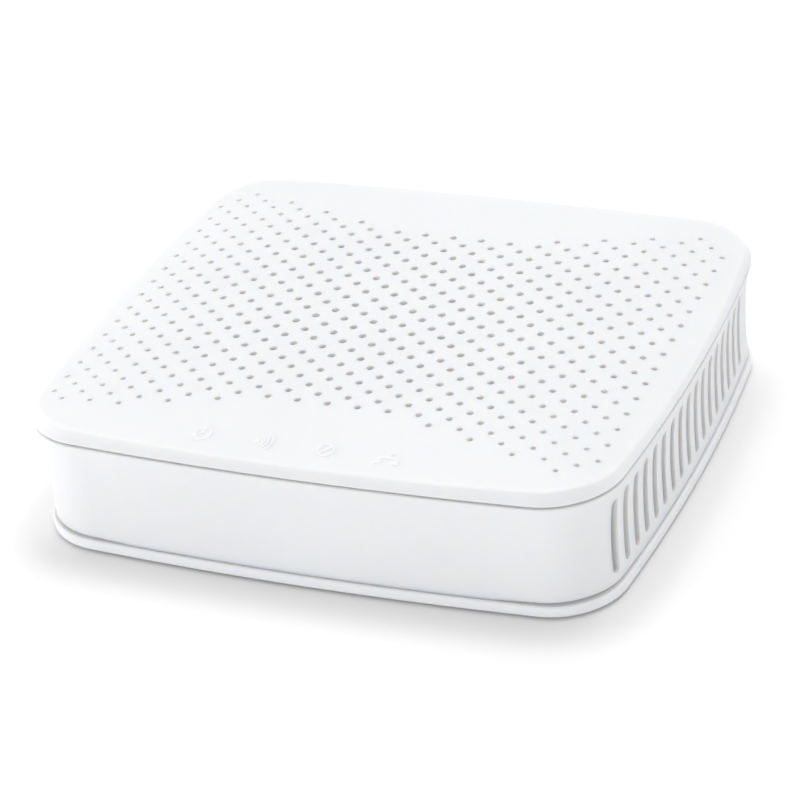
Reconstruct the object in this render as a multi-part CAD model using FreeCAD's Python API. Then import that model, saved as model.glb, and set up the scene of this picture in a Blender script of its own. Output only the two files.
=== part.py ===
import FreeCAD, Part
import math
import os

os.makedirs("parts", exist_ok=True)
V = FreeCAD.Vector

# ---------------------------------------------------------------------------
# Driving dimensions, millimetres.  +X right, +Y back (port side), +Z up.
# The origin is on the table, under the middle of the terminal.
# ---------------------------------------------------------------------------
HALF_X = 55.2            # plan outline at the lid's lower edge
HALF_Y = 49.3
SIDE_R_X = 400.0         # gentle bow of the left and right sides
SIDE_R_Y = 620.0         # gentle bow of the front and back
CORNER_R = 13.4

PLATE_Z0 = 0.5           # base plate underside, the feet stand below it
PLATE_Z1 = 2.5
PLATE_IN = 0.7           # inset of the flange's edge from the lid outline
WALL_Z0 = 2.65
WALL_Z1 = 21.95
WALL_T = 1.6
WALL_IN_TOP = 0.6        # insets of the waisted wall at its top and foot
WALL_IN_BOTTOM = 1.3
WALL_SAG = 0.5           # depth of the waist
WALL_FLARE = 0.6         # the last millimetres curl out to the lid's edge
LID_Z0 = 22.4
LID_TOP = 26.0
LID_T = 1.8
BAND_IN = 2.6            # the lid's sloped band leans in by this at BAND_Z
BAND_Z = 26.3
CROWN_DROP_X = 2.5       # roll-off of the top at HALF_X and HALF_Y
CROWN_DROP_Y = 2.0
CROWN_POWER = 6
LIP_GAP = 0.25
LIP_T = 0.8
LIP_Z0 = 21.3

PITCH_X = 5.5            # ventilation lattice in the lid
PITCH_Y = 4.93
LATTICE_X = -0.3
LATTICE_Y = -1.1
HOLE_D_MID = 1.4
HOLE_D_EDGE = 0.85

SLOT_COUNT = 17          # vent slots in the left and right walls
SLOT_PITCH = 4.24
SLOT_W = 2.0
SLOT_Z0 = 4.7
SLOT_Z1 = 19.1
SLOT_MID_Y = -3.5

SIGN_Y = -43.3           # raised signs near the lid's front edge
SIGN_X = (-17.8, -6.5, 4.7, 15.9)
SIGN_H = 3.3
SIGN_STROKE = 0.42
SIGN_RAISE = 0.17

POST_X = 44.0            # wall posts that take the case screws
POST_Y = 38.3
POST_R = 3.0
SCREW_R = 1.2
SCREW_BORE_R = 1.25

FOOT_X = 33.0
FOOT_Y = 37.5
FOOT_R = 4.5

BOARD_Z0 = 5.0
BOARD_T = 1.6
BOARD_Z1 = BOARD_Z0 + BOARD_T
BOARD_X = 46.0
BOARD_Y0 = -42.4
BOARD_Y1 = 42.6
STAND_X = 38.0
STAND_Y = (-30.0, 24.5)

PORT_Z = 12.5            # height of the optical and power button axes
SC_X = -33.0
LAN_X = -9.5
RESET_X = 7.0
RESET_Z = 10.0
BUTTON_X = 20.0
BUTTON_Y1 = 49.3         # front of the released button cap
DC_X = 35.0
DC_Z = 12.9
BUTTON_TRAVEL = 2.2
RESET_TRAVEL = 0.3


# ---------------------------------------------------------------------------
# Helpers
# ---------------------------------------------------------------------------
def save(name, solids):
    """Write one node: a solid, or a group of separate solids."""
    if isinstance(solids, (list, tuple)):
        shape = Part.makeCompound([s for item in solids for s in item.Solids])
    else:
        shape = solids
    if len(shape.Solids) == 1:
        shape = shape.Solids[0]
    shape.exportStep("parts/%s.step" % name)


def block(x0, x1, y0, y1, z0, z1):
    return Part.makeBox(x1 - x0, y1 - y0, z1 - z0, V(x0, y0, z0))


def block_at(cx, cy, size_x, size_y, z0, z1):
    return block(cx - size_x / 2, cx + size_x / 2, cy - size_y / 2, cy + size_y / 2, z0, z1)


def rod_y(r, x, z, y0, y1):
    return Part.makeCylinder(r, y1 - y0, V(x, y0, z), V(0, 1, 0))


def rod_z(r, x, y, z0, z1):
    return Part.makeCylinder(r, z1 - z0, V(x, y, z0))


def rod_x(r, y, z, x0, x1):
    return Part.makeCylinder(r, x1 - x0, V(x0, y, z), V(1, 0, 0))


def fuse(solids):
    shape = solids[0].fuse(list(solids[1:]))
    return shape.removeSplitter()


def cut(shape, tools):
    return shape.cut(Part.makeCompound(tools))


def four(x, y):
    return [(sx * x, sy * y) for sx in (-1, 1) for sy in (-1, 1)]


def corner_centre():
    """Centre of the corner arc that is tangent inside both bowed sides."""
    ax, ay = HALF_X - SIDE_R_X, 0.0
    bx, by = 0.0, HALF_Y - SIDE_R_Y
    ra, rb = SIDE_R_X - CORNER_R, SIDE_R_Y - CORNER_R
    d = math.hypot(bx - ax, by - ay)
    along = (ra * ra - rb * rb + d * d) / (2 * d)
    across = math.sqrt(ra * ra - along * along)
    ux, uy = (bx - ax) / d, (by - ay) / d
    return ax + along * ux - across * uy, ay + along * uy + across * ux


CORNER_X, CORNER_Y = corner_centre()


def beyond(cx, cy, reach):
    """Point on the ray from (cx, cy) through the corner centre, reach past it."""
    dx, dy = CORNER_X - cx, CORNER_Y - cy
    length = math.hypot(dx, dy)
    return CORNER_X + reach * dx / length, CORNER_Y + reach * dy / length


def outline(inset, z):
    """Closed plan curve: four bowed sides and four tangent corner arcs."""
    r = CORNER_R - inset
    side = beyond(HALF_X - SIDE_R_X, 0.0, r)
    front = beyond(0.0, HALF_Y - SIDE_R_Y, r)
    ang = (math.atan2(side[1] - CORNER_Y, side[0] - CORNER_X)
           + math.atan2(front[1] - CORNER_Y, front[0] - CORNER_X)) / 2
    mid = (CORNER_X + r * math.cos(ang), CORNER_Y + r * math.sin(ang))
    points = [(HALF_X - inset, 0.0), side, mid, front, (0.0, HALF_Y - inset)]
    points += [(-x, y) for x, y in points[3::-1]]
    points += [(-x, -y) for x, y in points[1:4]]
    points += [(0.0, inset - HALF_Y)]
    points += [(x, -y) for x, y in points[3:0:-1]]
    ring = [V(x, y, z) for x, y in points]
    start = len(ring) - 1
    edges = []
    for k in range(8):
        trio = [ring[(start + 2 * k + i) % len(ring)] for i in range(3)]
        edges.append(Part.Arc(*trio).toShape())
    return Part.Wire(edges)


def skin(levels, ruled=True):
    """Solid through plan outlines given as (inset, z)."""
    return Part.makeLoft([outline(inset, z) for inset, z in levels], True, ruled)


def crown(x, y):
    """Height of the top: the two roll-offs blend smoothly at the corners."""
    across = CROWN_DROP_X * abs(x / HALF_X) ** CROWN_POWER
    along = CROWN_DROP_Y * abs(y / HALF_Y) ** CROWN_POWER
    return LID_TOP - (across ** 3 + along ** 3) ** (1 / 3)


def under_crown(offset):
    """Everything below the crowned top, shifted by offset."""
    steps = [6.0 * k for k in range(-10, 11)]
    grid = [[V(x, y, crown(x, y) + offset) for y in steps] for x in steps]
    surface = Part.BSplineSurface()
    surface.interpolate(grid)
    return surface.toShape().extrude(V(0, 0, -18))


# ---------------------------------------------------------------------------
# Enclosure
# ---------------------------------------------------------------------------
def perforations():
    """Staggered lattice: full in the middle band, corners only near front and back."""
    for twice_row in range(-16, 17):
        row = twice_row / 2
        first = -9.0 if twice_row % 2 == 0 else -8.5
        for k in range(int(-2 * first) + 1):
            col = first + k
            inner = 3 * abs(row) - 16 if abs(row) > 6 else 0
            if abs(col) < inner or abs(col) + abs(row) > 16 or abs(col) > 9:
                continue
            x, y = LATTICE_X + col * PITCH_X, LATTICE_Y + row * PITCH_Y
            spread = min(1.0, ((x / 50) ** 2 + (y / 42) ** 2) / 1.5)
            yield x, y, (HOLE_D_MID + (HOLE_D_EDGE - HOLE_D_MID) * spread) / 2


def ring_piece(r, cx, cy, start, end):
    """Flat arc stroke, from start to end degrees."""
    outer = Part.makeCylinder(r + SIGN_STROKE / 2, 6, V(cx, cy, 22.9), V(0, 0, 1), end - start)
    inner = Part.makeCylinder(r - SIGN_STROKE / 2, 6, V(cx, cy, 22.9), V(0, 0, 1), 360)
    outer.rotate(V(cx, cy, 0), V(0, 0, 1), start)
    return outer.cut(inner)


def stroke(x0, y0, x1, y1):
    """Flat straight stroke with square ends."""
    length = math.hypot(x1 - x0, y1 - y0)
    bar = Part.makeBox(length, SIGN_STROKE, 6, V(x0, y0 - SIGN_STROKE / 2, 22.9))
    bar.rotate(V(x0, y0, 0), V(0, 0, 1), math.degrees(math.atan2(y1 - y0, x1 - x0)))
    return bar


def signs():
    """Four plain pictograms: power, optical link, link lost, network."""
    r = SIGN_H / 2
    y = SIGN_Y
    power, link, lost, net = SIGN_X
    dot_x = link - r * 0.7
    roots = [(net, y + r * 0.72), (net - r * 0.95, y - r * 0.72), (net + r * 0.95, y - r * 0.72)]
    power_sign = [ring_piece(r * 0.85, power, y, 120, 420), stroke(power, y + 0.1, power, y + r * 1.05)]
    link_sign = [ring_piece(r * k, dot_x, y, -42, 42) for k in (0.7, 1.15, 1.6)]
    link_sign.append(rod_z(0.45, dot_x, y, 22.9, 28.9))
    lost_sign = [ring_piece(r * 0.85, lost, y, 0, 360)]
    lost_sign.append(stroke(lost - r * 0.6, y - r * 0.6, lost + r * 0.6, y + r * 0.6))
    net_sign = [block_at(px, py, r * 0.62, r * 0.5, 22.9, 28.9) for px, py in roots]
    net_sign += [stroke(net, y, net, y + r * 0.6), stroke(roots[1][0], y, roots[2][0], y)]
    net_sign += [stroke(px, y - r * 0.6, px, y) for px in (roots[1][0], roots[2][0])]
    return [fuse(sign) for sign in (power_sign, link_sign, lost_sign, net_sign)]


def top_cover():
    shell = skin([(0.2, LID_Z0), (0.0, LID_Z0 + 0.2), (BAND_IN, BAND_Z)])
    shell = shell.common(under_crown(0.0))
    crease = [e for e in shell.Edges if e.BoundBox.ZMin > LID_Z0 + 0.5 and e.Length > 3]
    shell = shell.makeFillet(0.7, crease)
    lip_in = wall_inset(LIP_Z0) + WALL_T + LIP_GAP
    lip = skin([(lip_in, LIP_Z0), (lip_in, LID_Z0 + 0.5)])
    cavity_in = lip_in + LIP_T
    cavity = skin([(cavity_in, LIP_Z0 - 1), (cavity_in, LID_TOP + 1)])
    shell = shell.fuse(lip).cut(cavity.common(under_crown(-LID_T)))
    raised = [sign.common(under_crown(SIGN_RAISE)) for sign in signs()]
    shell = shell.fuse([piece for sign in raised for piece in sign.Solids])
    holes = [rod_z(r, x, y, LIP_Z0 + 0.6, LID_TOP + 1) for x, y, r in perforations()]
    return cut(shell, holes)


def wall_inset(z):
    """Waisted wall: an arc over the line from foot to top, less the flare at the top."""
    t = (z - WALL_Z0) / (WALL_Z1 - WALL_Z0)
    line = WALL_IN_BOTTOM + (WALL_IN_TOP - WALL_IN_BOTTOM) * t
    return line + 4 * WALL_SAG * t * (1 - t) - WALL_FLARE * t ** 10


def vent_slots():
    tools = []
    r = SLOT_W / 2
    for k in range(SLOT_COUNT):
        y = SLOT_MID_Y + (k - (SLOT_COUNT - 1) / 2) * SLOT_PITCH
        for x0 in (-60.0, 47.5):
            tools.append(block(x0, x0 + 12.5, y - r, y + r, SLOT_Z0 + r, SLOT_Z1 - r))
            tools.append(rod_x(r, y, SLOT_Z0 + r, x0, x0 + 12.5))
            tools.append(rod_x(r, y, SLOT_Z1 - r, x0, x0 + 12.5))
    return tools


def port_openings():
    """Cut-outs in the back wall, one for each port or control."""
    return [
        block_at(SC_X, 46.0, 13.4, 14.0, PORT_Z - 5.0, PORT_Z + 5.0),
        block_at(LAN_X, 46.0, 16.8, 14.0, BOARD_Z1 - 0.2, BOARD_Z1 + 13.4),
        block_at(DC_X, 46.0, 9.6, 14.0, BOARD_Z1 - 0.3, DC_Z + 5.0),
        rod_y(3.95, BUTTON_X, PORT_Z, 39.0, 53.0),
        rod_y(1.2, RESET_X, RESET_Z, 39.0, 53.0),
    ]


def corner_arches():
    """Shallow arches that lift the wall's foot at the four corners."""
    relief, reach = 0.5, 15.0
    ends = [V(0, -reach, 0), V(0, 0, relief), V(0, reach, 0)]
    edge = Part.Wire([Part.Arc(*ends).toShape(), Part.makeLine(ends[2], V(0, reach, -1)),
                      Part.makeLine(V(0, reach, -1), V(0, -reach, -1)), Part.makeLine(V(0, -reach, -1), ends[0])])
    tools = []
    for turn in (45, 135, 225, 315):
        arch = Part.Face(edge).extrude(V(14, 0, 0))
        arch.translate(V(4, 0, WALL_Z0))
        arch.rotate(V(0, 0, 0), V(0, 0, 1), turn)
        sx = 1 if turn in (45, 315) else -1
        sy = 1 if turn in (45, 135) else -1
        arch.translate(V(sx * CORNER_X, sy * CORNER_Y, 0))
        tools.append(arch)
    return tools


def wall_posts():
    posts = []
    for x, y in four(POST_X, POST_Y):
        rib = block(0.0, 9.0, -0.8, 0.8, WALL_Z0 + 0.6, 18.0)
        rib.rotate(V(0, 0, 0), V(0, 0, 1), math.degrees(math.atan2(y, x)))
        rib.translate(V(x, y, 0))
        rib = rib.common(skin([(2.0, WALL_Z0), (2.0, WALL_Z1)]))
        posts.append(fuse([rod_z(POST_R, x, y, WALL_Z0, 19.0), rib]))
    return posts


def side_wall():
    edge = 0.15
    top = WALL_Z1 - edge
    heights = [WALL_Z0 + (top - WALL_Z0) * t for t in (0, 0.13, 0.26, 0.39, 0.52, 0.65, 0.76, 0.86, 0.94, 1)]
    outer = skin([(wall_inset(z), z) for z in heights], False)
    inner = skin([(wall_inset(z) + WALL_T, z) for z in heights], False)
    wall = outer.cut(inner)
    brim_in = wall_inset(top)
    brim = skin([(brim_in, top), (brim_in + edge, WALL_Z1)])
    brim = brim.cut(skin([(brim_in + WALL_T, top - 1), (brim_in + WALL_T, WALL_Z1 + 1)]))
    wall = wall.fuse(brim)
    wall = cut(wall, vent_slots() + port_openings() + corner_arches())
    wall = wall.fuse(wall_posts())
    return cut(wall, [rod_z(SCREW_BORE_R, x, y, WALL_Z0 - 1, 16.5) for x, y in four(POST_X, POST_Y)])


def keyhole(x, y):
    """Wall keyhole: the screw head enters at the back and slides forwards."""
    return [rod_z(3.6, x, y + 4.0, 0, 6), rod_z(1.9, x, y - 4.0, 0, 6), block(x - 1.9, x + 1.9, y - 4.0, y + 4.0, 0, 6)]


def base_plate():
    e = 0.25
    levels = [(PLATE_IN + e, PLATE_Z0), (PLATE_IN, PLATE_Z0 + e), (PLATE_IN, PLATE_Z1 - e), (PLATE_IN + e, PLATE_Z1)]
    plate = skin(levels)
    rim_in = wall_inset(PLATE_Z1 + 2) + WALL_T + 0.2
    rim = skin([(rim_in, PLATE_Z1 - 0.2), (rim_in, PLATE_Z1 + 1.6)])
    rim = rim.cut(skin([(rim_in + 1.0, 0.0), (rim_in + 1.0, 9.0)]))
    rim = cut(rim, [rod_z(POST_R + 0.4, x, y, 0, 9) for x, y in four(POST_X, POST_Y)]
              + [block_at(x, y, 14, 14, 0, 9) for x, y in four(POST_X + 5, POST_Y + 5)])
    stands = [rod_z(3.0, sx * STAND_X, y, PLATE_Z1 - 0.2, BOARD_Z0) for sx in (-1, 1) for y in STAND_Y]
    plate = fuse([plate, rim] + stands)
    tools = [rod_z(SCREW_BORE_R, sx * STAND_X, y, 1.6, 9) for sx in (-1, 1) for y in STAND_Y]
    for x, y in four(POST_X, POST_Y):
        tools.append(rod_z(SCREW_R + 0.3, x, y, 0, 9))
        tools.append(Part.makeCone(2.75, 1.5, 1.25, V(x, y, PLATE_Z0)))
    tools += [rod_z(FOOT_R + 0.1, x, y, 0, PLATE_Z0 + 0.5) for x, y in four(FOOT_X, FOOT_Y)]
    tools += keyhole(-30.0, 0.0) + keyhole(30.0, 0.0)
    for k in range(9):
        x = (k - 4) * 4.5
        for y in (-15.0, 15.0):
            tools.append(block(x - 1.0, x + 1.0, y - 9.0, y + 9.0, 0, 6))
            tools += [rod_z(1.0, x, y + s * 9.0, 0, 6) for s in (-1, 1)]
    return cut(plate, tools)


def rubber_feet():
    feet = []
    for x, y in four(FOOT_X, FOOT_Y):
        foot = rod_z(FOOT_R, x, y, 0.0, PLATE_Z0 + 0.5)
        lower = [e for e in foot.Edges if e.BoundBox.ZMax < 0.01]
        feet.append(foot.makeFillet(0.3, lower))
    return feet


def drive(x, y, z, depth, upwards):
    """Cross recess in a screw head, cut down from z or up from z."""
    z0, z1 = (z, z + depth) if upwards else (z - depth, z)
    return [block_at(x, y, 2.2, 0.5, z0, z1), block_at(x, y, 0.5, 2.2, z0, z1)]


def case_screws():
    screws = []
    for x, y in four(POST_X, POST_Y):
        head = Part.makeCone(2.55, SCREW_R, 1.25, V(x, y, PLATE_Z0 + 0.1))
        shank = rod_z(SCREW_R, x, y, PLATE_Z0 + 1.2, 12.0)
        tip = Part.makeCone(SCREW_R, 0.4, 1.2, V(x, y, 12.0))
        screws.append(cut(fuse([head, shank, tip]), drive(x, y, PLATE_Z0 + 0.1, 0.7, True)))
    return screws


# ---------------------------------------------------------------------------
# Board, status lights
# ---------------------------------------------------------------------------
def main_board():
    board = block(-BOARD_X, BOARD_X, BOARD_Y0, BOARD_Y1, BOARD_Z0, BOARD_Z1)
    upright = [e for e in board.Edges if e.BoundBox.ZLength > 1]
    board = board.makeFillet(2.0, upright)
    tools = [rod_z(4.2, x, y, 0, 9) for x, y in four(POST_X, POST_Y)]
    tools += [block_at(x, y, 8.4, 8.4, 0, 9) for x, y in four(POST_X + 4.2, POST_Y + 4.2)]
    tools += [rod_z(1.4, sx * STAND_X, y, 0, 9) for sx in (-1, 1) for y in STAND_Y]
    return cut(board, tools)


def board_screws():
    screws = []
    for sx in (-1, 1):
        for y in STAND_Y:
            x = sx * STAND_X
            head = rod_z(2.3, x, y, BOARD_Z1, BOARD_Z1 + 1.5)
            head = head.makeFillet(0.6, [e for e in head.Edges if e.BoundBox.ZMin > BOARD_Z1 + 1.4])
            shank = rod_z(SCREW_R, x, y, 2.0, BOARD_Z1 + 0.2)
            screws.append(cut(fuse([head, shank]), drive(x, y, BOARD_Z1 + 1.5, 0.9, False)))
    return screws


LED_Y = -40.0


def status_leds():
    leds = []
    for x in SIGN_X:
        base = block_at(x, LED_Y, 3.2, 1.6, BOARD_Z1, BOARD_Z1 + 0.5)
        lens = block_at(x, LED_Y, 2.0, 1.4, BOARD_Z1 + 0.5, BOARD_Z1 + 1.1)
        leds.append(fuse([base, lens]))
    return leds


def light_guide():
    """One clear moulding: four pipes on a bridge that stands on two legs."""
    pipes = []
    for x in SIGN_X:
        pipes.append(rod_z(1.5, x, LED_Y, BOARD_Z1 + 1.4, 21.6))
        pipes.append(Part.makeCone(1.5, 2.2, 1.0, V(x, LED_Y, 21.6)))
    x0, x1 = SIGN_X[0] - 6.0, SIGN_X[-1] + 6.0
    bridge = block(x0, x1, LED_Y - 1.0, LED_Y + 1.0, 13.0, 15.0)
    legs = [block(x, x + 2.0, LED_Y - 1.0, LED_Y + 1.0, BOARD_Z1, 13.2) for x in (x0, x1 - 2.0)]
    return fuse([bridge] + legs + pipes)


# ---------------------------------------------------------------------------
# Optics: socket on the back, internal plug, fibre loop, transceiver
# ---------------------------------------------------------------------------
SC_Y0, SC_Y1, SC_MID = 27.0, 46.0, 36.8
SC_CAV_X, SC_CAV_Z = 9.2, 7.4


def fibre_adapter():
    body = block_at(SC_X, (SC_Y0 + SC_Y1) / 2, 12.8, SC_Y1 - SC_Y0, PORT_Z - 4.7, PORT_Z + 4.7)
    body = body.makeFillet(0.6, [e for e in body.Edges if e.BoundBox.YLength > 5])
    flange = block_at(SC_X, 43.2, 18.0, 1.6, PORT_Z - 4.7, PORT_Z + 4.7)
    feet = [block_at(SC_X + s * 5.4, 32.0, 2.0, 6.0, BOARD_Z1, PORT_Z - 4.6) for s in (-1, 1)]
    body = fuse([body, flange] + feet)
    front = block_at(SC_X, (SC_MID + 1.2 + SC_Y1 + 1) / 2, SC_CAV_X, SC_Y1 - SC_MID - 0.2,
                     PORT_Z - SC_CAV_Z / 2, PORT_Z + SC_CAV_Z / 2)
    rear = block_at(SC_X, (SC_Y0 - 1 + SC_MID - 1.2) / 2, SC_CAV_X, SC_MID - SC_Y0 - 0.2,
                    PORT_Z - SC_CAV_Z / 2, PORT_Z + SC_CAV_Z / 2)
    key = block_at(SC_X, 42.6, 2.6, 9.0, PORT_Z + 3.0, PORT_Z + 6.0)
    body = body.cut(front).cut(rear).cut(key)
    holder = rod_y(2.35, SC_X, PORT_Z, SC_MID - 6.2, SC_MID + 6.2)
    return fuse([body, holder]).cut(rod_y(1.66, SC_X, PORT_Z, 20, 50))


def alignment_sleeve():
    tube = rod_y(1.6, SC_X, PORT_Z, SC_MID - 5.7, SC_MID + 5.7)
    tube = cut(tube, [rod_y(1.3, SC_X, PORT_Z, 20, SC_MID - 0.5),
                      rod_y(1.42, SC_X, PORT_Z, SC_MID - 0.6, SC_MID + 0.1),
                      rod_y(1.25, SC_X, PORT_Z, SC_MID, 60)])
    return tube.cut(block_at(SC_X, SC_MID, 0.4, 20.0, PORT_Z + 0.5, PORT_Z + 3.0))


def pigtail_ferrule():
    ferrule = rod_y(1.245, SC_X, PORT_Z, SC_MID - 11.0, SC_MID - 0.1)
    tip = [e for e in ferrule.Edges if e.BoundBox.YMin > SC_MID - 0.2]
    return ferrule.makeChamfer(0.2, tip)


def pigtail_plug():
    """Internal plug with its strain boot; the fibre leaves forwards."""
    body = block_at(SC_X, 24.2, 8.8, 22.0, PORT_Z - 3.5, PORT_Z + 3.5)
    body = body.makeChamfer(0.5, [e for e in body.Edges if e.BoundBox.YLength > 5])
    body = body.cut(rod_y(2.6, SC_X, PORT_Z, 28.5, 40))
    boot = Part.makeCone(1.1, 2.4, 5.6, V(SC_X, 8.0, PORT_Z), V(0, 1, 0))
    plug = fuse([body, boot])
    plug = plug.cut(rod_y(1.27, SC_X, PORT_Z, SC_MID - 11.0, 40))
    plug = plug.cut(rod_y(0.47, SC_X, PORT_Z, 0, 30))
    grooves = [block_at(SC_X + s * 4.4, y, 0.6, 0.8, PORT_Z - 5, PORT_Z + 5) for s in (-1, 1) for y in (16, 18, 20, 22)]
    return cut(plug, grooves)


FIBRE_R = 0.45
LOOP_Y = -6.0


def arc_edge(cx, cy, r, a0, a1):
    pts = [(cx + r * math.cos(math.radians(a)), cy + r * math.sin(math.radians(a))) for a in (a0, (a0 + a1) / 2, a1)]
    return Part.Arc(*[V(x, y, PORT_Z) for x, y in pts]).toShape()


def run_edge(x0, y0, x1, y1):
    return Part.makeLine(V(x0, y0, PORT_Z), V(x1, y1, PORT_Z))


def fibre_pigtail():
    """Tight-buffered fibre: one and a half turns, spiralling in to the transceiver."""
    path = Part.Wire([
        run_edge(SC_X, 24.0, SC_X, LOOP_Y),
        arc_edge(-15.0, LOOP_Y, 18.0, 180, 360),
        run_edge(3.0, LOOP_Y, 3.0, 4.0),
        arc_edge(-13.5, 4.0, 16.5, 0, 180),
        run_edge(-30.0, 4.0, -30.0, LOOP_Y),
        arc_edge(-15.0, LOOP_Y, 15.0, 180, 360),
        run_edge(0.0, LOOP_Y, 0.0, 0.0),
        arc_edge(-10.0, 0.0, 10.0, 0, 90),
        run_edge(-10.0, 10.0, -15.0, 10.0),
    ])
    circle = Part.Wire(Part.makeCircle(FIBRE_R, V(SC_X, 24.0, PORT_Z), V(0, 1, 0)))
    return path.makePipeShell([circle], True, True)


def fibre_clip(cx, cy, along_x, tracks):
    """Small saddle on the board; tracks are the notch offsets from its centre."""
    width = 4.0 + max(tracks) - min(tracks)
    size_x, size_y = (width, 2.6) if along_x else (2.6, width)
    mid = (max(tracks) + min(tracks)) / 2
    px, py = (cx + mid, cy) if along_x else (cx, cy + mid)
    clip = block_at(px, py, size_x, size_y, BOARD_Z1, PORT_Z + 1.3)
    foot = block_at(px, py, size_x + 1.6, size_y + 1.6, BOARD_Z1, BOARD_Z1 + 0.8)
    clip = fuse([clip, foot])
    for t in tracks:
        sx, sy = (1.0, 9.0) if along_x else (9.0, 1.0)
        tx, ty = (cx + t, cy) if along_x else (cx, cy + t)
        clip = clip.cut(block_at(tx, ty, sx, sy, PORT_Z - 0.5, PORT_Z + 3.0))
    return clip


def fibre_clips():
    return [
        fibre_clip(SC_X, -2.0, True, (0.0, 3.0)),
        fibre_clip(0.0, -3.0, True, (0.0, 3.0)),
        fibre_clip(-15.0, LOOP_Y - 18.0, False, (0.0, 3.0)),
        fibre_clip(-13.5, 20.5, False, (0.0,)),
    ]


def optics_body():
    """Metal block of the transceiver with its fibre stub, lying along X."""
    body = block(-22.0, -16.0, 7.0, 13.0, PORT_Z - 3.0, PORT_Z + 3.0)
    body = body.makeChamfer(0.4, [e for e in body.Edges if e.BoundBox.XLength > 5])
    stub = rod_x(1.5, 10.0, PORT_Z, -16.2, -12.0)
    collar = rod_x(2.3, 10.0, PORT_Z, -16.2, -14.8)
    saddle = block(-21.0, -17.0, 8.0, 12.0, BOARD_Z1, PORT_Z - 2.9)
    return fuse([body, stub, collar, saddle]).cut(rod_x(0.47, 10.0, PORT_Z, -15.1, -5.0))


def can(r, length, base, direction):
    """Transistor-outline can: rim, cap, end at the glass-sealed leads."""
    x, y, z = base
    rim = Part.makeCylinder(r, 1.0, V(x, y, z), direction)
    cap = Part.makeCylinder(r * 0.82, length, V(x, y, z), direction)
    leads = []
    side = V(0, 0, 1).cross(direction)
    for a in (45, 135, 225, 315):
        offset = side * (r * 0.45 * math.cos(math.radians(a))) + V(0, 0, r * 0.45 * math.sin(math.radians(a)))
        leads.append(Part.makeCylinder(0.22, length + 2.2, V(x, y, z) + offset, direction))
    return fuse([rim, cap] + leads)


def laser_can():
    return can(2.7, 2.6, (-22.0, 10.0, PORT_Z), V(-1, 0, 0))


def photodiode_can():
    return can(2.5, 2.4, (-19.0, 7.0, PORT_Z), V(0, -1, 0))


def dust_cap():
    """Hollow plug that slides over the sleeve holder, with a grip head outside."""
    plug = block_at(SC_X, 42.6, 8.6, 8.6, PORT_Z - 3.4, PORT_Z + 3.4)
    head = block_at(SC_X, 47.2, 11.6, 1.4, PORT_Z - 4.2, PORT_Z + 4.2)
    head = head.makeFillet(0.5, [e for e in head.Edges if e.BoundBox.YLength > 1])
    grip = block_at(SC_X, 48.2, 8.0, 1.6, PORT_Z - 0.7, PORT_Z + 0.7)
    cap = fuse([plug, head, grip])
    return cap.cut(rod_y(2.75, SC_X, PORT_Z, 36.0, 45.0))


# ---------------------------------------------------------------------------
# LAN socket
# ---------------------------------------------------------------------------
LAN_W, LAN_H = 15.4, 12.6
LAN_Y0, LAN_Y1 = 31.0, 46.4
LAN_CAV_Z0, LAN_CAV_Z1 = BOARD_Z1 + 3.0, BOARD_Z1 + 10.0


def lan_jack_housing():
    body = block_at(LAN_X, (LAN_Y0 + LAN_Y1) / 2, LAN_W, LAN_Y1 - LAN_Y0, BOARD_Z1, BOARD_Z1 + LAN_H)
    cavity = block_at(LAN_X, 41.0, 11.8, 13.0, LAN_CAV_Z0, LAN_CAV_Z1)
    key = block_at(LAN_X, 41.5, 6.4, 12.0, BOARD_Z1 + 1.3, LAN_CAV_Z0 + 0.1)
    key_wide = block_at(LAN_X, 45.0, 3.4, 5.0, BOARD_Z1 + 0.8, BOARD_Z1 + 1.4)
    comb = [block_at(LAN_X + (k - 3.5) * 1.02, 40.6, 0.62, 12.2, LAN_CAV_Z1 - 0.1, LAN_CAV_Z1 + 1.2) for k in range(8)]
    return cut(body, [cavity, key, key_wide] + comb)


def lan_jack_shield():
    """Folded sheet over the housing: top, sides and back, with grounding tabs."""
    t, gap = 0.25, 0.03
    w, y0, z1 = LAN_W / 2 + gap, LAN_Y0 - gap, BOARD_Z1 + LAN_H + gap
    outer = block(LAN_X - w - t, LAN_X + w + t, y0 - t, LAN_Y1, BOARD_Z1, z1 + t)
    shell = outer.cut(block(LAN_X - w, LAN_X + w, y0, LAN_Y1 + 1, BOARD_Z1 - 1, z1))
    front = block(LAN_X - w - t, LAN_X + w + t, LAN_Y1 + 0.02, LAN_Y1 + 0.02 + t, BOARD_Z1, z1 + t)
    front = front.cut(block_at(LAN_X, LAN_Y1, 12.4, 4.0, BOARD_Z1 + 0.6, LAN_CAV_Z1 + 0.3))
    link = block(LAN_X - w - t, LAN_X + w + t, LAN_Y1 - 0.5, LAN_Y1 + 0.1, z1, z1 + t)
    slits = [block(LAN_X + s * w - 1, LAN_X + s * w + 1, 37.0, 42.0, z, z + 0.4) for s in (-1, 1) for z in (11.0, 14.0)]
    return cut(fuse([shell, front, link]), slits)


def lan_contacts():
    """Eight spring wires that fold back down into the socket."""
    springs = []
    z = LAN_CAV_Z1
    profile = [(34.6, z + 0.4), (44.6, z + 0.4), (45.0, z + 0.1), (44.8, z - 0.3), (37.4, z - 2.2),
               (37.5, z - 2.5), (45.0, z - 0.6), (45.4, z + 0.2), (44.9, z + 0.75), (34.6, z + 0.75)]
    for k in range(8):
        x = LAN_X + (k - 3.5) * 1.02 - 0.22
        wire = Part.makePolygon([V(x, py, pz) for py, pz in profile + profile[:1]])
        springs.append(Part.Face(wire).extrude(V(0.44, 0, 0)))
    return springs


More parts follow.
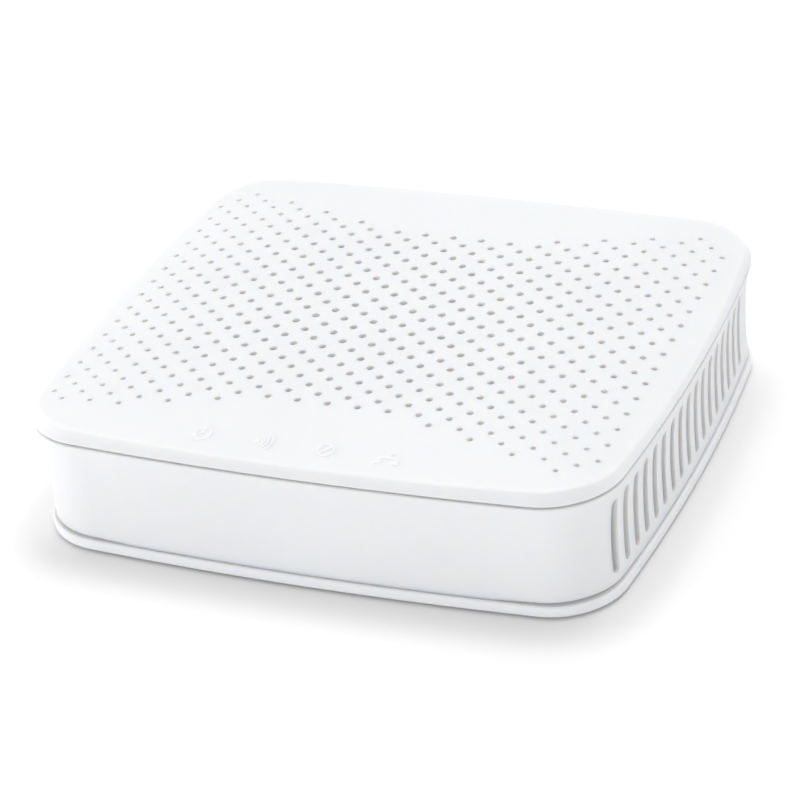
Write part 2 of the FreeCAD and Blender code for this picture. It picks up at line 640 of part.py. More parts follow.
def leaded(cx, cy, size_x, size_y, height, count, pitch, lead):
    """Moulded package with gull-wing leads along both X sides."""
    body = block_at(cx, cy, size_x, size_y, BOARD_Z1 + 0.15, BOARD_Z1 + height)
    body = body.makeChamfer(0.15, [e for e in body.Edges if e.BoundBox.ZMin > BOARD_Z1 + height - 0.01])
    leads = []
    for s in (-1, 1):
        for k in range(count):
            y = cy + (k - (count - 1) / 2) * pitch
            edge = cx + s * size_x / 2
            knee = edge + s * lead * 0.5
            toe = edge + s * lead
            mid = BOARD_Z1 + height * 0.45
            leads.append(block(min(edge - s * 0.1, knee), max(edge - s * 0.1, knee), y - 0.17, y + 0.17, mid, mid + 0.15))
            leads.append(block(min(knee, knee - s * 0.15), max(knee, knee - s * 0.15), y - 0.17, y + 0.17, BOARD_Z1, mid + 0.15))
            leads.append(block(min(knee - s * 0.15, toe), max(knee - s * 0.15, toe), y - 0.17, y + 0.17, BOARD_Z1, BOARD_Z1 + 0.15))
    return fuse([body] + leads)


def lan_transformer():
    return leaded(LAN_X, 27.0, 12.6, 6.2, 5.2, 5, 1.2, 1.6)


# ---------------------------------------------------------------------------
# Power inlet, power button, reset
# ---------------------------------------------------------------------------
DC_Y0, DC_Y1 = 32.0, 46.0


def dc_jack_housing():
    body = block_at(DC_X, (DC_Y0 + DC_Y1) / 2, 9.0, DC_Y1 - DC_Y0, BOARD_Z1, DC_Z + 4.6)
    tunnel = block_at(DC_X, DC_Y0 + 3.0, 7.6, 8.0, DC_Z + 2.6, DC_Z + 6.0)
    body = body.cut(tunnel)
    return cut(body, [rod_y(3.15, DC_X, DC_Z, 36.2, 50), block_at(DC_X, 39.0, 2.6, 6.0, DC_Z - 4.4, DC_Z - 1.0)])


def dc_jack_pin():
    pin = rod_y(1.0, DC_X, DC_Z, 36.2, 45.4)
    pin = pin.makeFillet(0.5, [e for e in pin.Edges if e.BoundBox.YMin > 45.3])
    rivet = rod_y(1.8, DC_X, DC_Z, 36.2, 36.8)
    return fuse([pin, rivet])


def dc_jack_spring():
    """Leaf that touches the plug's barrel from below."""
    profile = [(36.4, -4.3), (41.6, -4.3), (41.6, -4.0), (39.6, -3.25), (39.2, -3.25), (36.8, -4.0), (36.4, -4.0)]
    wire = Part.makePolygon([V(DC_X - 1.0, y, DC_Z + z) for y, z in profile + profile[:1]])
    return Part.Face(wire).extrude(V(2.0, 0, 0))


SW_Y0, SW_Y1 = 26.5, 39.3


def power_switch_housing():
    body = block_at(BUTTON_X, (SW_Y0 + SW_Y1) / 2, 8.4, SW_Y1 - SW_Y0, BOARD_Z1 + 0.6, PORT_Z + 4.2)
    legs = [block_at(BUTTON_X + sx * 3.0, y, 0.5, 0.9, BOARD_Z1, BOARD_Z1 + 0.7) for sx in (-1, 1) for y in (28.5, 33.0, 37.5)]
    shaft = block_at(BUTTON_X, 36.0, 3.5, 14.0, PORT_Z - 1.75, PORT_Z + 1.75)
    return fuse([body] + legs).cut(shaft)


def power_button():
    """Round cap on a square shaft that runs into the switch."""
    cap = rod_y(3.6, BUTTON_X, PORT_Z, 42.6, BUTTON_Y1)
    cap = cap.makeFillet(0.6, [e for e in cap.Edges if e.BoundBox.YMin > BUTTON_Y1 - 0.1])
    dish = Part.makeSphere(16.0, V(BUTTON_X, BUTTON_Y1 + 15.7, PORT_Z))
    shaft = block_at(BUTTON_X, 37.7, 2.8, 10.0, PORT_Z - 1.4, PORT_Z + 1.4)
    return fuse([cap.cut(dish), shaft])


def power_switch_spring():
    wire_r, coil_r, length = 0.2, 2.75, 2.8
    helix = Part.makeHelix(0.8, length, coil_r)
    circle = Part.Wire(Part.makeCircle(wire_r, V(coil_r, 0, 0), V(0, 1, 0)))
    coil = Part.Wire(helix.Edges).makePipeShell([circle], True, True)
    coil.rotate(V(0, 0, 0), V(1, 0, 0), -90)
    coil.translate(V(BUTTON_X, SW_Y1 + 0.25, PORT_Z))
    return coil


def reset_switch_housing():
    body = block_at(RESET_X, 38.0, 6.0, 4.4, BOARD_Z1, RESET_Z + 2.2)
    cover = block_at(RESET_X, 40.35, 5.4, 0.3, BOARD_Z1 + 0.3, RESET_Z + 1.9)
    return fuse([body, cover]).cut(rod_y(1.15, RESET_X, RESET_Z, 37.2, 45))


def reset_plunger():
    tip = rod_y(0.85, RESET_X, RESET_Z, 37.8, 44.6)
    collar = rod_y(1.5, RESET_X, RESET_Z, 41.4, 42.2)
    return fuse([tip, collar])


# ---------------------------------------------------------------------------
# Electronics on the board
# ---------------------------------------------------------------------------
SOC_X, SOC_Y, SOC = 24.0, -12.0, 14.0


def soc_chip():
    body = block_at(SOC_X, SOC_Y, SOC, SOC, BOARD_Z1 + 0.3, BOARD_Z1 + 1.3)
    balls = []
    for i in range(8):
        for j in range(8):
            balls.append(rod_z(0.3, SOC_X + (i - 3.5) * 1.6, SOC_Y + (j - 3.5) * 1.6, BOARD_Z1, BOARD_Z1 + 0.4))
    return fuse([body] + balls)


def thermal_pad():
    return block_at(SOC_X, SOC_Y, 13.0, 13.0, BOARD_Z1 + 1.3, BOARD_Z1 + 1.8)


def heat_sink():
    z0 = BOARD_Z1 + 1.8
    base = block_at(SOC_X, SOC_Y, 25.0, 25.0, z0, z0 + 1.6)
    fins = [block_at(SOC_X + (k - 4) * 3.0, SOC_Y, 1.0, 25.0, z0 + 1.4, z0 + 8.0) for k in range(9)]
    return fuse([base] + fins)


def memory_chip():
    return leaded(24.0, 12.0, 9.2, 13.0, 1.2, 14, 0.8, 1.0)


def flash_chip():
    return leaded(8.0, 12.0, 5.2, 5.2, 1.7, 4, 1.27, 1.2)


def regulator_chips():
    return [leaded(40.0, 4.0, 3.6, 5.0, 1.5, 4, 1.1, 1.0), leaded(40.0, -8.0, 3.6, 5.0, 1.5, 4, 1.1, 1.0)]


def power_inductors():
    coils = []
    for y in (13.5, -16.5):
        core = block_at(40.0, y, 7.0, 7.0, BOARD_Z1, BOARD_Z1 + 3.2)
        coils.append(core.makeFillet(1.2, [e for e in core.Edges if e.BoundBox.ZLength > 2]))
    return coils


def bulk_capacitors():
    caps = []
    for x, y, r, h in ((28.0, 25.0, 3.1, 8.0), (12.5, 22.0, 3.1, 8.0), (9.0, -30.0, 2.5, 6.5), (26.0, -31.0, 2.5, 6.5)):
        base = block_at(x, y, 2 * r + 0.3, 2 * r + 0.3, BOARD_Z1, BOARD_Z1 + 0.9)
        tin = rod_z(r, x, y, BOARD_Z1 + 0.8, BOARD_Z1 + h)
        tin = tin.makeFillet(0.5, [e for e in tin.Edges if e.BoundBox.ZMin > BOARD_Z1 + h - 0.01])
        caps.append(fuse([base, tin]))
    return caps


def chip_capacitors():
    chips = []
    spots = [(SOC_X - 16.5, SOC_Y + k * 3.0) for k in range(-4, 5)]
    spots += [(12.0 + k * 3.0, 3.5) for k in range(0, 9)]
    spots += [(-38.0, -22.0 + k * 3.4) for k in range(6)]
    spots += [(x, LED_Y + 5.0) for x in SIGN_X]
    for x, y in spots:
        chips.append(block_at(x, y, 1.6, 0.8, BOARD_Z1, BOARD_Z1 + 0.8))
    return chips


def crystal_can():
    x, y = 7.5, 5.8
    tin = block_at(x, y, 3.2, 5.0, BOARD_Z1 + 0.1, BOARD_Z1 + 1.2)
    tin = tin.makeFillet(0.4, [e for e in tin.Edges if e.BoundBox.ZLength > 1])
    pads = [block_at(x, y + end, 3.2, 1.2, BOARD_Z1, BOARD_Z1 + 0.15) for end in (-1.9, 1.9)]
    return fuse([tin] + pads)


def optics_shield():
    """Pressed lid over the optical driver circuit, inside the fibre loop."""
    x0, x1, y0, y1, z1 = -26.0, -4.0, -16.0, 0.5, BOARD_Z1 + 3.0
    outer = block(x0, x1, y0, y1, BOARD_Z1, z1)
    outer = outer.makeFillet(0.5, [e for e in outer.Edges if e.BoundBox.ZMin > z1 - 0.01 or e.BoundBox.ZLength > 2])
    shell = outer.cut(block(x0 + 0.25, x1 - 0.25, y0 + 0.25, y1 - 0.25, BOARD_Z1 - 1, z1 - 0.25))
    vents = [rod_z(0.6, x0 + 3.0 + 4.0 * i, y0 + 2.6 + 3.8 * j, 0, 30) for i in range(5) for j in range(4)]
    return cut(shell, vents)


def input_fuse():
    body = block_at(37.5, 28.6, 4.6, 1.7, BOARD_Z1 + 0.1, BOARD_Z1 + 1.5)
    ends = [block_at(37.5 + s * 2.3, 28.6, 1.4, 1.9, BOARD_Z1, BOARD_Z1 + 1.6) for s in (-1, 1)]
    return fuse([body] + ends)


NODES = {
    "top_cover": top_cover,
    "side_wall": side_wall,
    "base_plate": base_plate,
    "rubber_feet": rubber_feet,
    "case_screws": case_screws,
    "main_board": main_board,
    "board_screws": board_screws,
    "status_leds": status_leds,
    "light_guide": light_guide,
    "fibre_adapter": fibre_adapter,
    "alignment_sleeve": alignment_sleeve,
    "pigtail_ferrule": pigtail_ferrule,
    "pigtail_plug": pigtail_plug,
    "fibre_pigtail": fibre_pigtail,
    "fibre_clips": fibre_clips,
    "optics_body": optics_body,
    "laser_can": laser_can,
    "photodiode_can": photodiode_can,
    "optics_shield": optics_shield,
    "dust_cap": dust_cap,
    "lan_jack_housing": lan_jack_housing,
    "lan_jack_shield": lan_jack_shield,
    "lan_contacts": lan_contacts,
    "lan_transformer": lan_transformer,
    "dc_jack_housing": dc_jack_housing,
    "dc_jack_pin": dc_jack_pin,
    "dc_jack_spring": dc_jack_spring,
    "power_switch_housing": power_switch_housing,
    "power_button": power_button,
    "power_switch_spring": power_switch_spring,
    "reset_switch_housing": reset_switch_housing,
    "reset_plunger": reset_plunger,
    "soc_chip": soc_chip,
    "thermal_pad": thermal_pad,
    "heat_sink": heat_sink,
    "memory_chip": memory_chip,
    "flash_chip": flash_chip,
    "regulator_chips": regulator_chips,
    "power_inductors": power_inductors,
    "bulk_capacitors": bulk_capacitors,
    "chip_capacitors": chip_capacitors,
    "crystal_can": crystal_can,
    "input_fuse": input_fuse,
}

for node, make in NODES.items():
    save(node, make())
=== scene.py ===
import math

import bmesh
import bpy
from mathutils import Matrix, Vector


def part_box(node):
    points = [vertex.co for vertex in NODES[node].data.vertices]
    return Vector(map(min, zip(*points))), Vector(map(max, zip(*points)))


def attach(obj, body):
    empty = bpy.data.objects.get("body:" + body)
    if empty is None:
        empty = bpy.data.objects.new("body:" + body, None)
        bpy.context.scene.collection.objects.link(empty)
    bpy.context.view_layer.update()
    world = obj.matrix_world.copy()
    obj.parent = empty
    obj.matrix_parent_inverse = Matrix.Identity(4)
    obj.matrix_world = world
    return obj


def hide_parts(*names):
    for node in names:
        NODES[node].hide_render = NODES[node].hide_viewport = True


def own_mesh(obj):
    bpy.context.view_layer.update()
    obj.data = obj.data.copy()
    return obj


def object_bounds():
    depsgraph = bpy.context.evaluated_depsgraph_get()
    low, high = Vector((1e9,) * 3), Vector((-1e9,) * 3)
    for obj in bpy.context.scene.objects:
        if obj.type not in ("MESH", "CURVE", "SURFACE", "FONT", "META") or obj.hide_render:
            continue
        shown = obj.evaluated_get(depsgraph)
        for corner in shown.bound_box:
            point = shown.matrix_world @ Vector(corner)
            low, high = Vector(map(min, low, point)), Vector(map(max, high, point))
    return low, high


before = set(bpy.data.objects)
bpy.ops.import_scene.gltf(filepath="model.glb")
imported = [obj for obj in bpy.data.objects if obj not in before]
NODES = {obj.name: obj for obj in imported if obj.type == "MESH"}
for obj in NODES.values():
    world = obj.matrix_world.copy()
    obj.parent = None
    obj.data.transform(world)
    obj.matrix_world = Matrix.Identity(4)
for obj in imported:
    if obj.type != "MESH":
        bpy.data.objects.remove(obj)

CAD_BOX = [list(corner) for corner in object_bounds()]

# Camera, in metres and degrees: a long lens, seen from the front right and above.
CAMERA_PLACE = Vector((0.197985, -0.423461, 0.288474))
CAMERA_AIM = Vector((0.0025188, -0.0081010, 0.0134244))
CAMERA_ROLL = -6.418
LENS_MM = 137.42
SENSOR_MM = 36.0
CLIP_NEAR = 0.01
CLIP_FAR = 20.0

# Studio: white surroundings, three panels overhead behind the object and low fill panels round it.
# Each panel is (azimuth, elevation, distance, side, power), in degrees, metres and watts.
# Azimuth 0 is in front of the object, and 90 is on its right.
SURROUND = (1.0, 1.0, 1.0)
SURROUND_STRENGTH = 0.57
PANELS = {
    "key_back": (180, 62, 2.0, 0.9, 8.1),
    "key_left": (225, 73, 2.0, 0.7, 6.7),
    "key_right": (135, 73, 2.0, 0.7, 6.6),
    "fill_front": (0, 5, 2.2, 0.34, 4.5),
    "fill_front_left": (315, 5, 2.2, 0.34, 8.6),
    "fill_left": (270, 12, 2.2, 0.8, 8.2),
    "fill_right": (90, 5, 2.2, 0.34, 3.4),
}
PANEL_AIM = Vector((0.0, 0.0, 0.012))

# Floor: pale paper with faint broad mottling, in metres.
FLOOR_HALF = 4.0
FLOOR_HEIGHT = CAD_BOX[0][2]
FLOOR_COLOUR = (0.968, 0.957, 0.959)
FLOOR_ROUGHNESS = 0.85
FLOOR_SPECULAR = 0.2
FLOOR_MOTTLE = 0.35
FLOOR_SHADE = 0.995

# Coil spring behind the power button, in metres: closed at both ends.
SPRING_NODE = "power_switch_spring"
SPRING_WIRE = 0.0002           # radius of the wire
SPRING_TURNS = 4.0
SPRING_END_TURN = 0.5          # turns that lie closed at each end, before the coil opens
SPRING_CLOSED_PITCH = 0.00042
TURN_STEPS = 48
WIRE_SIDES = 12

# Detail of the materials, in metres unless a line says otherwise.
WAVE_SPACING = 0.314           # how far apart the bands of a wave texture are at scale 1
FLOW_SIZE = 0.028              # flow marks in moulded plastic
GLOSS_PATCH = 9.0              # width of the patches of uneven gloss, in grains
GLOSS_SPREAD = 0.05
METAL_PATCH = 12.0             # the same for metal, in grains
METAL_GLOSS = (0.75, 1.3)      # least and most, as shares of the roughness
COPPER_AREA = 0.0052
TRACK_PITCH = 0.0011
TRACK_EDGE = (0.10, 0.13)
COPPER_STEP = 0.000018
WEAVE_PITCH = 0.0006
WEAVE_STEP = 0.000006
MASK_OVER_BASE = [(0.3, (0.010, 0.085, 0.030)), (0.7, (0.014, 0.105, 0.038))]
MASK_OVER_COPPER = [(0.3, (0.022, 0.165, 0.055)), (0.7, (0.028, 0.190, 0.066))]
SLEEVE_COLOURS = [(0.3, (0.018, 0.022, 0.034)), (0.7, (0.026, 0.031, 0.046))]
CAN_TOP_COLOURS = [(0.3, (0.62, 0.63, 0.64)), (0.7, (0.74, 0.75, 0.76))]
CAN_TOP_FACING = (0.80, 0.90)  # upward part of the normal, from sleeve to bare top


# --- material building -------------------------------------------------------------------


class Finish:
    """One procedural material, with helpers that add nodes to it."""

    def __init__(self, name, roughness=0.5, metallic=0.0, **sockets):
        self.material = bpy.data.materials.new(name)
        self.material.use_nodes = True
        self.tree = self.material.node_tree
        self.shader = self.tree.nodes["Principled BSDF"]
        self.shader.inputs["Roughness"].default_value = roughness
        self.shader.inputs["Metallic"].default_value = metallic
        for socket, value in sockets.items():
            self.shader.inputs[socket.replace("_", " ")].default_value = value
        self.place = self.add("ShaderNodeTexCoord").outputs["Object"]
        self.normal = None

    def add(self, kind, **properties):
        node = self.tree.nodes.new(kind)
        for key, value in properties.items():
            setattr(node, key, value)
        return node

    def link(self, source, target):
        self.tree.links.new(source, target)

    def stretched(self, factors):
        """The object's coordinates, multiplied along X, Y and Z."""
        node = self.add("ShaderNodeMapping")
        node.inputs["Scale"].default_value = factors
        self.link(self.place, node.inputs["Vector"])
        return node.outputs["Vector"]

    def noise(self, size, detail=2.0, rough=0.5, place=None):
        """Noise whose features are about size metres wide."""
        node = self.add("ShaderNodeTexNoise")
        node.inputs["Scale"].default_value = 1.0 / size
        node.inputs["Detail"].default_value = detail
        node.inputs["Roughness"].default_value = rough
        self.link(place or self.place, node.inputs["Vector"])
        return node.outputs["Fac"]

    def squares(self, size):
        """Square-edged Voronoi cells about size metres wide."""
        node = self.add("ShaderNodeTexVoronoi", distance="CHEBYCHEV")
        node.inputs["Scale"].default_value = 1.0 / size
        self.link(self.place, node.inputs["Vector"])
        return node.outputs["Distance"]

    def bands(self, size, direction):
        """Straight bands about size metres apart."""
        node = self.add("ShaderNodeTexWave", bands_direction=direction)
        node.inputs["Scale"].default_value = WAVE_SPACING / size
        self.link(self.place, node.inputs["Vector"])
        return node.outputs["Fac"]

    def join(self, first, second, operation="ADD"):
        """Two levels put together by a maths operation."""
        node = self.add("ShaderNodeMath", operation=operation)
        self.link(first, node.inputs[0])
        self.link(second, node.inputs[1])
        return node.outputs[0]

    def spread(self, source, low, high, start=0.3, end=0.7):
        """source from start to end, mapped to low to high."""
        node = self.add("ShaderNodeMapRange")
        sockets = {"From Min": start, "From Max": end, "To Min": low, "To Max": high}
        for socket, value in sockets.items():
            node.inputs[socket].default_value = value
        self.link(source, node.inputs["Value"])
        return node.outputs["Result"]

    def colours(self, source, stops):
        """A colour for each level of source; stops is a list of (level, colour)."""
        node = self.add("ShaderNodeValToRGB")
        ramp = node.color_ramp
        while len(ramp.elements) < len(stops):
            ramp.elements.new(0.5)
        for element, (level, colour) in zip(ramp.elements, stops):
            element.position = level
            element.color = (*colour, 1.0)
        self.link(source, node.inputs["Fac"])
        return node.outputs["Color"]

    def blend(self, factor, first, second):
        """One colour changing into another as factor goes from 0 to 1."""
        node = self.add("ShaderNodeMix", data_type="RGBA")
        self.link(factor, node.inputs["Factor"])
        self.link(first, node.inputs["A"])
        self.link(second, node.inputs["B"])
        return node.outputs["Result"]

    def colour(self, source):
        self.link(source, self.shader.inputs["Base Color"])

    def roughness(self, source):
        self.link(source, self.shader.inputs["Roughness"])

    def relief(self, source, depth):
        """Bump of depth metres between the lowest and highest level of source."""
        node = self.add("ShaderNodeBump")
        node.inputs["Strength"].default_value = 1.0
        node.inputs["Distance"].default_value = depth
        self.link(source, node.inputs["Height"])
        if self.normal is not None:
            self.link(self.normal, node.inputs["Normal"])
        self.normal = node.outputs["Normal"]
        self.link(self.normal, self.shader.inputs["Normal"])


def shade(colour, factor):
    """colour made lighter or darker."""
    return tuple(min(1.0, channel * factor) for channel in colour)


def moulded(name, colour, roughness, grain, depth, variation=0.015, **sockets):
    """Injection-moulded plastic: spark-eroded grain, faint flow marks and uneven gloss."""
    made = Finish(name, roughness, **sockets)
    flow = made.noise(FLOW_SIZE, detail=3.0)
    made.colour(made.colours(flow, [
        (0.30, shade(colour, 1.0 - variation)),
        (0.55, colour),
        (0.80, shade(colour, 1.0 + variation)),
    ]))
    gloss = made.noise(grain * GLOSS_PATCH, detail=3.0)
    made.roughness(made.spread(gloss, roughness - GLOSS_SPREAD, roughness + GLOSS_SPREAD))
    made.relief(made.noise(grain, detail=3.0, rough=0.6), depth)
    return made.material


def metal(name, colour, roughness, grain, depth, streak=(1.0, 1.0, 1.0), variation=0.06):
    """Bare or plated metal with fine marks, drawn out along one axis by streak."""
    made = Finish(name, roughness, 1.0)
    marks = made.noise(grain, detail=4.0, rough=0.6, place=made.stretched(streak))
    made.colour(made.colours(marks, [
        (0.25, shade(colour, 1.0 - variation)),
        (0.75, shade(colour, 1.0 + variation)),
    ]))
    gloss = made.noise(grain * METAL_PATCH, detail=3.0)
    made.roughness(made.spread(gloss, roughness * METAL_GLOSS[0], roughness * METAL_GLOSS[1]))
    made.relief(marks, depth)
    return made.material


def laminate(name):
    """Circuit board: green solder mask over copper areas, with the glass weave showing through."""
    made = Finish(name, 0.32)
    areas = made.squares(COPPER_AREA)
    tracks = made.bands(TRACK_PITCH, "DIAGONAL")
    copper = made.spread(made.join(areas, tracks, "MULTIPLY"), 0.0, 1.0, *TRACK_EDGE)
    dark = made.colours(made.noise(0.009), MASK_OVER_BASE)
    light = made.colours(made.noise(0.006), MASK_OVER_COPPER)
    made.colour(made.blend(copper, dark, light))
    made.roughness(made.spread(made.noise(0.003, detail=3.0), 0.24, 0.40))
    made.relief(copper, COPPER_STEP)
    weave = made.join(made.bands(WEAVE_PITCH, "X"), made.bands(WEAVE_PITCH, "Y"))
    made.relief(weave, WEAVE_STEP)
    return made.material


def clear_resin(name, colour, roughness, tint_depth):
    """Cast or moulded clear plastic with faint flow lines."""
    made = Finish(name, roughness, IOR=1.49, Transmission_Weight=0.92)
    flow = made.noise(0.004, detail=3.0)
    made.colour(made.colours(flow, [(0.3, shade(colour, 1.0 - tint_depth)), (0.7, colour)]))
    made.roughness(made.spread(made.noise(0.0016, detail=2.0), roughness * 0.6, roughness * 1.6))
    made.relief(made.noise(0.0009, detail=2.0), 0.000006)
    return made.material


def speckled(name, colour, other, roughness, size, depth):
    """Sintered, filled or moulded compound with two-tone specks."""
    made = Finish(name, roughness)
    specks = made.noise(size, detail=4.0, rough=0.65)
    made.colour(made.colours(specks, [(0.38, other), (0.52, colour), (0.68, shade(colour, 1.12))]))
    made.roughness(made.spread(made.noise(size * 7.0), roughness - 0.06, roughness + 0.08))
    made.relief(specks, depth)
    return made.material


def sleeved_can(name):
    """Electrolytic capacitor: a printed plastic sleeve round the side and a bare metal top."""
    made = Finish(name, 0.35)
    facing = made.add("ShaderNodeSeparateXYZ")
    made.link(made.add("ShaderNodeNewGeometry").outputs["True Normal"], facing.inputs[0])
    top = made.spread(facing.outputs["Z"], 0.0, 1.0, *CAN_TOP_FACING)
    sleeve = made.colours(made.noise(0.0022, detail=3.0), SLEEVE_COLOURS)
    metal_top = made.colours(made.noise(0.0005, detail=3.0), CAN_TOP_COLOURS)
    made.colour(made.blend(top, sleeve, metal_top))
    made.link(top, made.shader.inputs["Metallic"])
    made.roughness(made.spread(made.noise(0.0012, detail=3.0), 0.26, 0.42))
    made.relief(made.noise(0.0004, detail=3.0), 0.000004)
    return made.material


# White moulding compound that lets a little light through its thin walls.
MILKY = {
    "Subsurface_Weight": 1.0,
    "Subsurface_Radius": (1.0, 0.84, 0.68),
    "Subsurface_Scale": 0.0018,
}

MILKY_SLOTS = ("cover_plastic", "wall_plastic", "base_plastic")

# For each slot, its maker and what the maker takes after the name.
RECIPES = {
    "cover_plastic": (moulded, (0.826, 0.834, 0.845), 0.56, 0.00030, 0.000010),
    "wall_plastic": (moulded, (0.822, 0.832, 0.845), 0.60, 0.00034, 0.000020),
    # The base plastic is the wall's white painted lighter, as painted light on the flange and base
    # plate.
    "base_plastic": (moulded, (0.900, 0.907, 0.918), 0.60, 0.00034, 0.000020),
    "foot_rubber": (moulded, (0.080, 0.081, 0.083), 0.78, 0.00045, 0.000020, 0.10),
    "screw_steel": (metal, (0.62, 0.63, 0.64), 0.30, 0.00035, 0.000006),
    "board_laminate": (laminate,),
    "led_resin": (clear_resin, (0.90, 0.96, 0.78), 0.12, 0.10),
    "clear_acrylic": (clear_resin, (0.97, 0.98, 0.98), 0.06, 0.03),
    "adapter_plastic": (moulded, (0.030, 0.330, 0.110), 0.38, 0.00030, 0.000007, 0.06),
    "zirconia": (speckled, (0.86, 0.85, 0.81), (0.80, 0.79, 0.75), 0.16, 0.0006, 0.000002),
    "plug_plastic": (moulded, (0.035, 0.360, 0.125), 0.36, 0.00028, 0.000007, 0.06),
    "fibre_jacket": (moulded, (0.800, 0.785, 0.700), 0.46, 0.00020, 0.000005, 0.05),
    "clip_nylon": (moulded, (0.700, 0.670, 0.590), 0.50, 0.00030, 0.000008, 0.04),
    "optics_steel": (metal, (0.56, 0.56, 0.57), 0.26, 0.00025, 0.000004, (1.0, 6.0, 6.0)),
    "gold_plate": (metal, (0.84, 0.62, 0.27), 0.22, 0.00022, 0.000003),
    "tinned_sheet": (metal, (0.66, 0.67, 0.68), 0.34, 0.00060, 0.000006, (1.0, 5.0, 1.0)),
    "dust_cap_plastic": (moulded, (0.040, 0.041, 0.044), 0.46, 0.00030, 0.000010, 0.12),
    "connector_black": (moulded, (0.020, 0.021, 0.023), 0.48, 0.00028, 0.000009, 0.15),
    "contact_nickel": (metal, (0.66, 0.63, 0.58), 0.24, 0.00020, 0.000003),
    "switch_plastic": (moulded, (0.035, 0.037, 0.042), 0.44, 0.00028, 0.000008, 0.12),
    "button_plastic": (moulded, (0.640, 0.650, 0.665), 0.36, 0.00026, 0.000006, 0.02),
    "chip_black": (speckled, (0.022, 0.022, 0.024), (0.012, 0.012, 0.013), 0.52, 0.00012, 0.000006),
    "pad_silicone": (speckled, (0.30, 0.40, 0.55), (0.25, 0.34, 0.48), 0.62, 0.0004, 0.000010),
    "sink_aluminium": (metal, (0.70, 0.71, 0.72), 0.38, 0.00030, 0.000008, (6.0, 1.0, 6.0)),
    "ferrite": (speckled, (0.060, 0.058, 0.056), (0.032, 0.031, 0.030), 0.66, 0.00025, 0.000014),
    "capacitor_can": (sleeved_can,),
    "capacitor_ceramic": (speckled, (0.44, 0.31, 0.18), (0.36, 0.25, 0.15), 0.42, 0.0003, 0.000006),
    "fuse_ceramic": (speckled, (0.80, 0.79, 0.76), (0.70, 0.69, 0.66), 0.40, 0.0003, 0.000006),
}

FINISHES = {}
for slot_name, (maker, *values) in RECIPES.items():
    extra = MILKY if slot_name in MILKY_SLOTS else {}
    FINISHES[slot_name] = maker(slot_name, *values, **extra)

for node in NODES.values():
    for held in node.material_slots:
        held.material = FINISHES[held.material.name.split(".")[0]]


# --- button spring -----------------------------------------------------------------------


def smooth_step(value):
    """0 below 0, 1 above 1 and a smooth rise between them."""
    value = min(1.0, max(0.0, value))
    return value * value * (3.0 - 2.0 * value)


def spring_line(low, high):
    """The coil's middle and the points along its wire: closed at each end, open between them."""
    middle = (low + high) / 2.0
    radius = (high.x - low.x) / 2.0 - SPRING_WIRE
    steps = round(SPRING_TURNS * TURN_STEPS)
    opened = [0.0]
    for step in range(steps):
        turn = (step + 0.5) / TURN_STEPS
        nearest_end = min(turn, SPRING_TURNS - turn)
        opened.append(opened[-1] + smooth_step(nearest_end / SPRING_END_TURN - 1.0))
    spare = high.y - low.y - 2.0 * SPRING_WIRE - SPRING_CLOSED_PITCH * SPRING_TURNS
    points = []
    for step, share in enumerate(opened):
        turn = step / TURN_STEPS
        height = low.y + SPRING_WIRE + SPRING_CLOSED_PITCH * turn + spare * share / opened[-1]
        angle = math.tau * turn
        across, up = radius * math.cos(angle), radius * math.sin(angle)
        points.append(Vector((middle.x + across, height, middle.z + up)))
    return middle, points


def make_spring():
    """Round wire along the spring's line, in place of the CAD spring."""
    low, high = (Vector(corner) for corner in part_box(SPRING_NODE))
    middle, points = spring_line(low, high)
    built = bmesh.new()
    rings = []
    for index, point in enumerate(points):
        along = points[min(index + 1, len(points) - 1)] - points[max(index - 1, 0)]
        out = Vector((point.x - middle.x, 0.0, point.z - middle.z)).normalized()
        across = along.normalized().cross(out).normalized()
        ring = []
        for side in range(WIRE_SIDES):
            angle = math.tau * side / WIRE_SIDES
            turned = math.cos(angle) * out + math.sin(angle) * across
            ring.append(built.verts.new(point + SPRING_WIRE * turned))
        rings.append(ring)
    for first, second in zip(rings, rings[1:]):
        for side in range(WIRE_SIDES):
            after = (side + 1) % WIRE_SIDES
            built.faces.new((first[side], first[after], second[after], second[side])).smooth = True
    built.faces.new(rings[0])
    built.faces.new(rings[-1])
    bmesh.ops.recalc_face_normals(built, faces=built.faces)
    mesh = bpy.data.meshes.new("button_spring")
    built.to_mesh(mesh)
    built.free()
    mesh.materials.append(FINISHES["contact_nickel"])
    spring = bpy.data.objects.new("button_spring", mesh)
    bpy.context.scene.collection.objects.link(spring)
    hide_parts(SPRING_NODE)
    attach(spring, "case")
    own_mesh(spring)


# --- floor, light and camera -------------------------------------------------------------


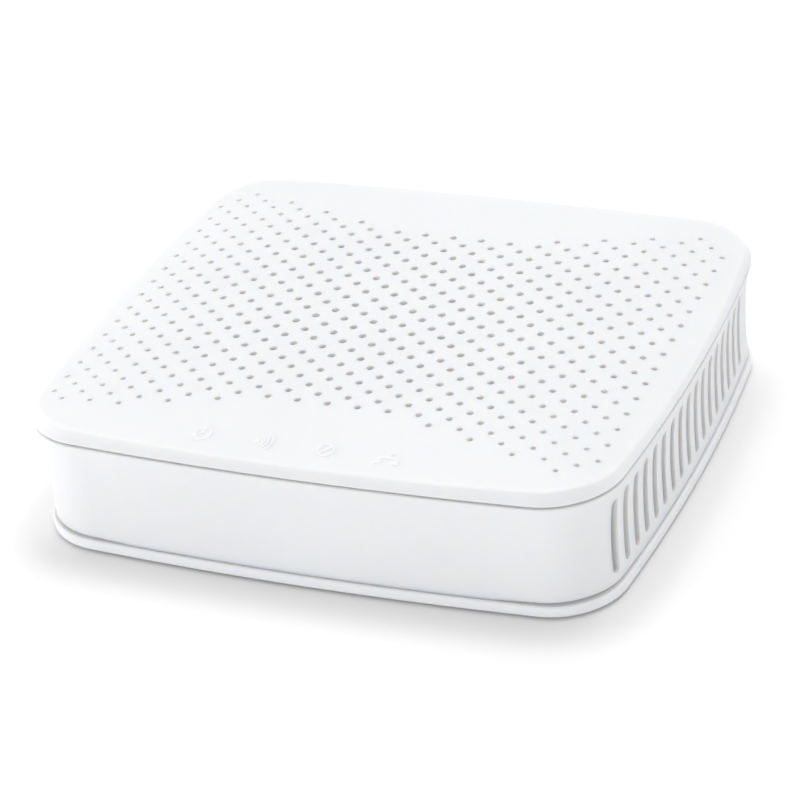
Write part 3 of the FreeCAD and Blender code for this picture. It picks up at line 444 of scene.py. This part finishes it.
def make_floor():
    mesh = bpy.data.meshes.new("floor")
    signs = ((-1, -1), (1, -1), (1, 1), (-1, 1))
    corners = [(x * FLOOR_HALF, y * FLOOR_HALF, FLOOR_HEIGHT) for x, y in signs]
    mesh.from_pydata(corners, [], [(0, 1, 2, 3)])
    floor = bpy.data.objects.new("floor", mesh)
    bpy.context.scene.collection.objects.link(floor)
    made = Finish("floor_paper", FLOOR_ROUGHNESS, Specular_IOR_Level=FLOOR_SPECULAR)
    made.colour(made.colours(made.noise(FLOOR_MOTTLE), [
        (0.3, shade(FLOOR_COLOUR, FLOOR_SHADE)),
        (0.7, FLOOR_COLOUR),
    ]))
    mesh.materials.append(made.material)


def make_world():
    world = bpy.data.worlds.new("surroundings")
    world.use_nodes = True
    background = world.node_tree.nodes["Background"]
    background.inputs["Color"].default_value = (*SURROUND, 1.0)
    background.inputs["Strength"].default_value = SURROUND_STRENGTH
    bpy.context.scene.world = world


def aimed(place, aim, roll=0.0):
    """A matrix at place whose -Z looks at aim, turned by roll degrees about that line."""
    turn = (place - aim).to_track_quat("Z", "Y").to_matrix().to_4x4()
    return Matrix.Translation(place) @ turn @ Matrix.Rotation(math.radians(roll), 4, "Z")


def make_panels():
    for name, (azimuth, elevation, distance, side, power) in PANELS.items():
        light = bpy.data.lights.new(name, "AREA")
        light.shape = "SQUARE"
        light.size = side
        light.energy = power
        turn, tilt = math.radians(azimuth), math.radians(elevation)
        way = Vector((math.sin(turn) * math.cos(tilt), -math.cos(turn) * math.cos(tilt), math.sin(tilt)))
        lamp = bpy.data.objects.new(name, light)
        lamp.matrix_world = aimed(way * distance, PANEL_AIM)
        bpy.context.scene.collection.objects.link(lamp)


def make_camera():
    data = bpy.data.cameras.new("camera")
    data.sensor_width = SENSOR_MM
    data.lens = LENS_MM
    data.clip_start = CLIP_NEAR
    data.clip_end = CLIP_FAR
    camera = bpy.data.objects.new("camera", data)
    camera.matrix_world = aimed(CAMERA_PLACE, CAMERA_AIM, CAMERA_ROLL)
    bpy.context.scene.collection.objects.link(camera)
    bpy.context.scene.camera = camera


make_spring()
make_floor()
make_world()
make_panels()
make_camera()
bpy.context.scene.view_settings.view_transform = "Standard"

bpy.context.view_layer.update()
